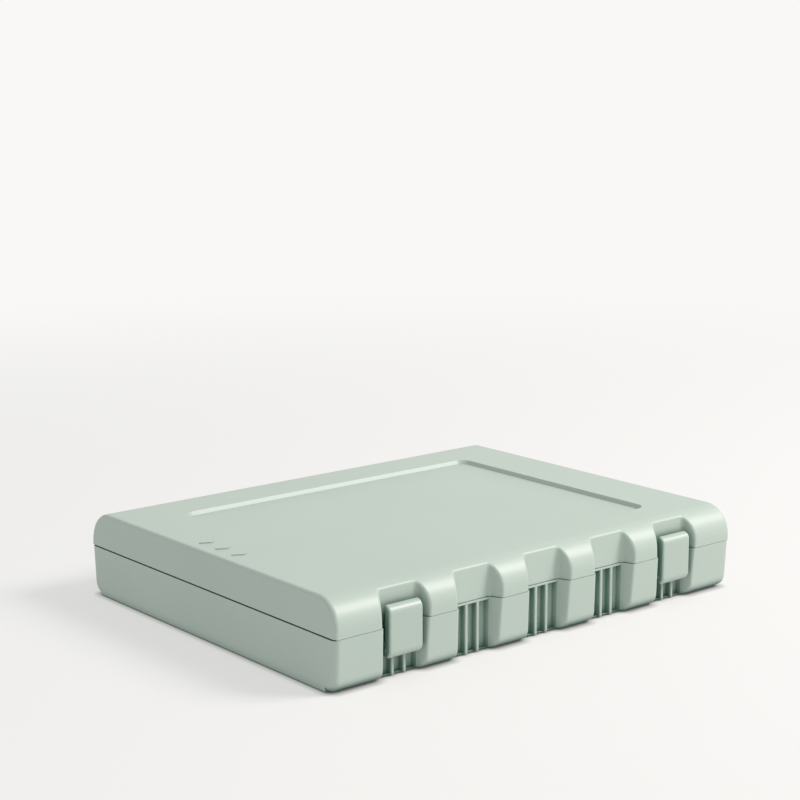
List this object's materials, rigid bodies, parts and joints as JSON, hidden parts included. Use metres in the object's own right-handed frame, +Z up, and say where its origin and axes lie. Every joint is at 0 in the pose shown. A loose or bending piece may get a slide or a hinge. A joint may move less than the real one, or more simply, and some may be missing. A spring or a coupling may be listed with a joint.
{
  "type": "wet palette",
  "caption": "Flat hinged plastic case with scalloped finger bays, snap latches and a sunk lid panel, holding a sponge tray, palette paper and mixing wells.",
  "frame": {"origin": "on the plane the feet stand on, under the middle of the overall box", "axes": "+X along the front to the right, +Y towards the hinged back, +Z up"},
  "size_m": [0.3204, 0.2594, 0.0545],
  "materials": {
    "case_plastic": "fine satin moulding texture",
    "latch_plastic": "satin",
    "pin_steel": "drawn wire",
    "seal_silicone": "matt silicone",
    "foot_rubber": "matt",
    "tray_plastic": "satin",
    "sponge": "open cell, damp",
    "palette_paper": "greaseproof",
    "well_plastic": "polished",
    "comb_plastic": "satin"
  },
  "bodies": {
    "base": {"base_shell": "case_plastic", "rim_gasket": "seal_silicone", "water_tray": "tray_plastic", "sponge_lower": "sponge", "sponge_upper": "sponge", "palette_paper": "palette_paper", "well_tray": "well_plastic", "hinge_pin_left": "pin_steel", "hinge_pin_right": "pin_steel", "latch_pin_left": "pin_steel", "latch_pin_right": "pin_steel", "foot_front_left": "foot_rubber", "foot_front_right": "foot_rubber", "foot_back_left": "foot_rubber", "foot_back_right": "foot_rubber"},
    "lid": {"lid_shell": "case_plastic", "brush_comb_left": "comb_plastic", "brush_comb_right": "comb_plastic"},
    "latch_left": {"latch_left": "latch_plastic"},
    "latch_right": {"latch_right": "latch_plastic"}
  },
  "joints": [
    {"name": "lid_hinge", "type": "hinge", "parent": "base", "child": "lid", "pos_m": [0, 0.12615, 0.032], "axis": [-1, 0, 0], "range_deg": [0, 180]},
    {"name": "latch_left_pivot", "type": "hinge", "parent": "base", "child": "latch_left", "pos_m": [-0.11, -0.12495, 0.0175], "axis": [1, 0, 0], "range_deg": [0, 100]},
    {"name": "latch_right_pivot", "type": "hinge", "parent": "base", "child": "latch_right", "pos_m": [0.11, -0.12495, 0.0175], "axis": [1, 0, 0], "range_deg": [0, 100]}
  ]
}
